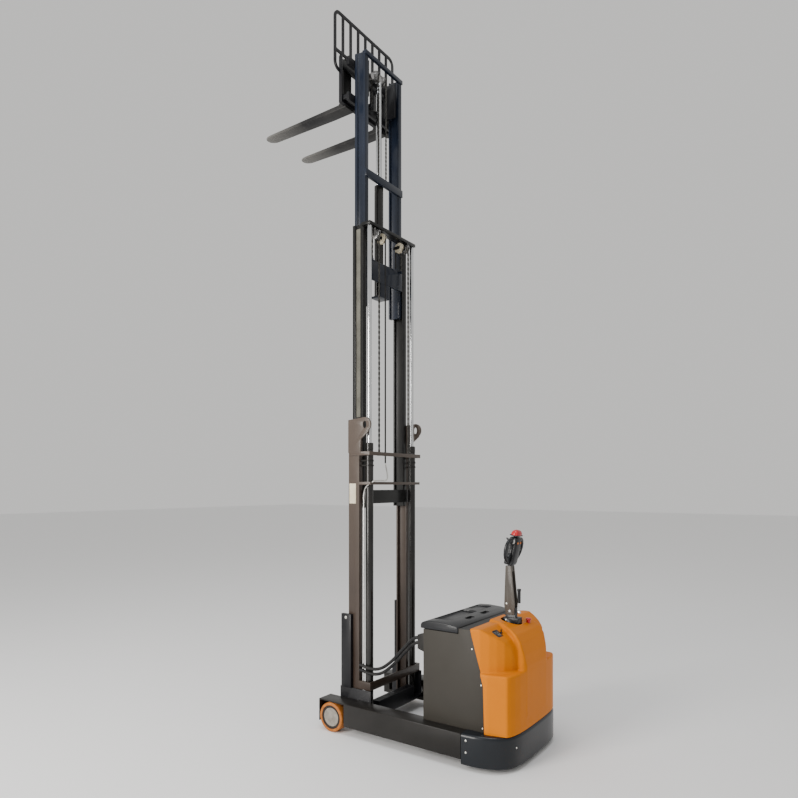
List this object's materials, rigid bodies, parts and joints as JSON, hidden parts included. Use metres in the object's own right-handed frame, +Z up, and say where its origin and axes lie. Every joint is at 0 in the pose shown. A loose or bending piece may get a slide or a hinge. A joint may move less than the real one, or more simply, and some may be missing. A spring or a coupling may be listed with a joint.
{
  "type": "walkie stacker",
  "caption": "Pedestrian reach stacker with straddle legs, triplex mast raised, tilting forks, load backrest and tiller-steered drive unit.",
  "frame": {"origin": "on the floor, at the bottom centre of the bounding box", "axes": "+Z up, forks point to -Y, +X is the truck's left"},
  "size_m": [0.94, 2.3184, 5.33],
  "materials": {
    "frame_black": "satin powder coat",
    "panel_grey": "fine-textured powder coat",
    "cover_orange": "moulded, semi-gloss",
    "moulded_black": "moulded, fine grain",
    "rubber_black": "matt",
    "tyre_orange": "polyurethane, satin",
    "hub_grey": "cast, painted",
    "chrome": "polished hard chrome",
    "steel": "machined",
    "button_red": "gloss",
    "battery_grey": "matt"
  },
  "bodies": {
    "chassis": {"chassis_frame": "frame_black", "leg_left": "frame_black", "leg_right": "frame_black", "battery": "battery_grey", "side_panel_left": "panel_grey", "side_panel_right": "panel_grey", "front_panel": "panel_grey", "hose_bracket": "frame_black", "rear_cover": "cover_orange", "base_skirt": "moulded_black", "hydraulic_power_unit": "steel", "motor_controller": "moulded_black", "display_panel": "moulded_black", "reach_cylinder_tube": "steel", "mast_hose_upper": "rubber_black", "mast_hose_lower": "rubber_black"},
    "lid": {"battery_lid": "moulded_black"},
    "key": {"ignition_key": "steel"},
    "stop": {"estop_button": "button_red"},
    "load_wheel_left": {"load_tyre_left": "tyre_orange", "load_hub_left": "hub_grey"},
    "load_wheel_right": {"load_tyre_right": "tyre_orange", "load_hub_right": "hub_grey"},
    "steer": {"drive_gearbox": "steel", "drive_motor": "moulded_black", "tiller_base": "moulded_black"},
    "drive_wheel": {"drive_wheel": "rubber_black"},
    "tiller": {"tiller_arm": "frame_black", "tiller_pin": "steel", "tiller_head": "moulded_black"},
    "belly": {"belly_button": "button_red"},
    "throttle": {"throttle": "moulded_black"},
    "rocker": {"lift_rocker": "button_red"},
    "spring_rod": {"gas_spring_rod": "chrome"},
    "spring_tube": {"gas_spring_tube": "moulded_black"},
    "caster_left": {"caster_fork_left": "steel"},
    "caster_right": {"caster_fork_right": "steel"},
    "caster_wheel_left": {"caster_wheel_left": "rubber_black"},
    "caster_wheel_right": {"caster_wheel_right": "rubber_black"},
    "mast": {"reach_carriage": "frame_black", "reach_cylinder_rod": "chrome", "outer_mast": "frame_black", "lift_cylinder_left": "moulded_black", "lift_cylinder_right": "moulded_black"},
    "middle": {"middle_mast": "frame_black", "lift_rod_left": "chrome", "lift_rod_right": "chrome", "lift_chain_left": "steel", "lift_chain_right": "steel"},
    "sheave_left": {"chain_sheave_left": "steel"},
    "sheave_right": {"chain_sheave_right": "steel"},
    "inner": {"inner_mast": "frame_black", "free_lift_tube": "moulded_black"},
    "free_rod": {"free_lift_rod": "steel"},
    "carriage": {"roller_carriage": "frame_black", "tilt_cylinder": "steel"},
    "tilt": {"fork_carriage": "frame_black", "load_backrest": "frame_black"},
    "fork_left": {"fork_left": "frame_black"},
    "fork_right": {"fork_right": "frame_black"}
  },
  "joints": [
    {"name": "mast_reach", "type": "slide", "parent": "chassis", "child": "mast", "axis": [0, -1, 0], "range_m": [-0.42, 0], "deforming": ["mast_hose_upper", "mast_hose_lower"]},
    {"name": "middle_lift", "type": "slide", "parent": "mast", "child": "middle", "axis": [0, 0, 1], "range_m": [-1.5, 0], "deforming": ["lift_chain_left", "lift_chain_right"]},
    {"name": "inner_lift", "type": "slide", "parent": "middle", "child": "inner", "axis": [0, 0, 1], "range_m": [-1.5, 0]},
    {"name": "free_lift", "type": "slide", "parent": "inner", "child": "free_rod", "axis": [0, 0, 1], "range_m": [-0.7925, 0]},
    {"name": "carriage_lift", "type": "slide", "parent": "inner", "child": "carriage", "axis": [0, 0, 1], "range_m": [-1.585, 0]},
    {"name": "fork_tilt", "type": "hinge", "parent": "carriage", "child": "tilt", "pos_m": [0, -0.24885, 4.693], "axis": [1, 0, 0], "range_deg": [-3, 3]},
    {"name": "fork_left_shift", "type": "slide", "parent": "tilt", "child": "fork_left", "axis": [1, 0, 0], "range_m": [-0.1, 0.035]},
    {"name": "fork_right_shift", "type": "slide", "parent": "tilt", "child": "fork_right", "axis": [-1, 0, 0], "range_m": [-0.1, 0.035]},
    {"name": "sheave_left_spin", "type": "hinge", "parent": "middle", "child": "sheave_left", "pos_m": [0.19, -0.04385, 3.6497], "axis": [1, 0, 0], "continuous": true},
    {"name": "sheave_right_spin", "type": "hinge", "parent": "middle", "child": "sheave_right", "pos_m": [-0.19, -0.04385, 3.6497], "axis": [1, 0, 0], "continuous": true},
    {"name": "load_wheel_left_spin", "type": "hinge", "parent": "chassis", "child": "load_wheel_left", "pos_m": [0.427, -0.24085, 0.105], "axis": [1, 0, 0], "continuous": true},
    {"name": "load_wheel_right_spin", "type": "hinge", "parent": "chassis", "child": "load_wheel_right", "pos_m": [-0.427, -0.24085, 0.105], "axis": [1, 0, 0], "continuous": true},
    {"name": "steering", "type": "hinge", "parent": "chassis", "child": "steer", "pos_m": [0, 0.96415, 0.56], "axis": [0, 0, 1], "range_deg": [-90, 90]},
    {"name": "drive_spin", "type": "hinge", "parent": "steer", "child": "drive_wheel", "pos_m": [0, 0.96415, 0.115], "axis": [1, 0, 0], "continuous": true},
    {"name": "tiller_tilt", "type": "hinge", "parent": "steer", "child": "tiller", "pos_m": [0, 0.96415, 0.94], "axis": [-1, 0, 0], "range_deg": [0, 70], "stiffness_Nm_per_rad": 14, "springref_deg": -20.05},
    {"name": "gas_spring_swing", "type": "hinge", "parent": "steer", "child": "spring_rod", "pos_m": [0, 1.02015, 0.93], "axis": [-1, 0, 0], "range_deg": [0, 90]},
    {"name": "gas_spring_stroke", "type": "slide", "parent": "spring_rod", "child": "spring_tube", "axis": [0, 0, -1], "range_m": [0, 0.04]},
    {"name": "belly_push", "type": "slide", "parent": "tiller", "child": "belly", "axis": [0, -0.2079, -0.9781], "range_m": [0, 0.006], "stiffness_N_per_m": 900, "springref_m": -0.004},
    {"name": "throttle_turn", "type": "hinge", "parent": "tiller", "child": "throttle", "pos_m": [0, 0.99108, 1.41063], "axis": [1, 0, 0], "range_deg": [-25, 25], "stiffness_Nm_per_rad": 0.5},
    {"name": "rocker_tilt", "type": "hinge", "parent": "tiller", "child": "rocker", "pos_m": [0, 0.9589, 1.36022], "axis": [1, 0, 0], "range_deg": [-8, 8], "stiffness_Nm_per_rad": 0.8},
    {"name": "lid_open", "type": "hinge", "parent": "chassis", "child": "lid", "pos_m": [0, 0.77115, 0.868], "axis": [-1, 0, 0], "range_deg": [0, 80]},
    {"name": "key_turn", "type": "hinge", "parent": "chassis", "child": "key", "pos_m": [0.226, 0.99915, 0.84], "axis": [0, 0, -1], "range_deg": [0, 60]},
    {"name": "stop_push", "type": "slide", "parent": "chassis", "child": "stop", "axis": [0, 0, -1], "range_m": [0, 0.006]},
    {"name": "caster_left_swivel", "type": "hinge", "parent": "chassis", "child": "caster_left", "pos_m": [0.3, 0.97415, 0.15], "axis": [0, 0, 1], "continuous": true},
    {"name": "caster_left_spin", "type": "hinge", "parent": "caster_left", "child": "caster_wheel_left", "pos_m": [0.3, 1.00215, 0.045], "axis": [1, 0, 0], "continuous": true},
    {"name": "caster_right_swivel", "type": "hinge", "parent": "chassis", "child": "caster_right", "pos_m": [-0.3, 0.97415, 0.15], "axis": [0, 0, 1], "continuous": true},
    {"name": "caster_right_spin", "type": "hinge", "parent": "caster_right", "child": "caster_wheel_right", "pos_m": [-0.3, 1.00215, 0.045], "axis": [1, 0, 0], "continuous": true}
  ],
  "couplings": [
    {"joint": "inner_lift", "follows": "middle_lift", "ratio": 1},
    {"joint": "carriage_lift", "follows": "free_lift", "ratio": 2},
    {"joint": "sheave_left_spin", "follows": "middle_lift", "rad_per_m": -30.96},
    {"joint": "sheave_right_spin", "follows": "middle_lift", "rad_per_m": -30.96},
    {"joint": "gas_spring_swing", "follows": "tiller_tilt", "ratio": 1.23},
    {"joint": "gas_spring_stroke", "follows": "tiller_tilt", "m_per_rad": 0.0286}
  ]
}
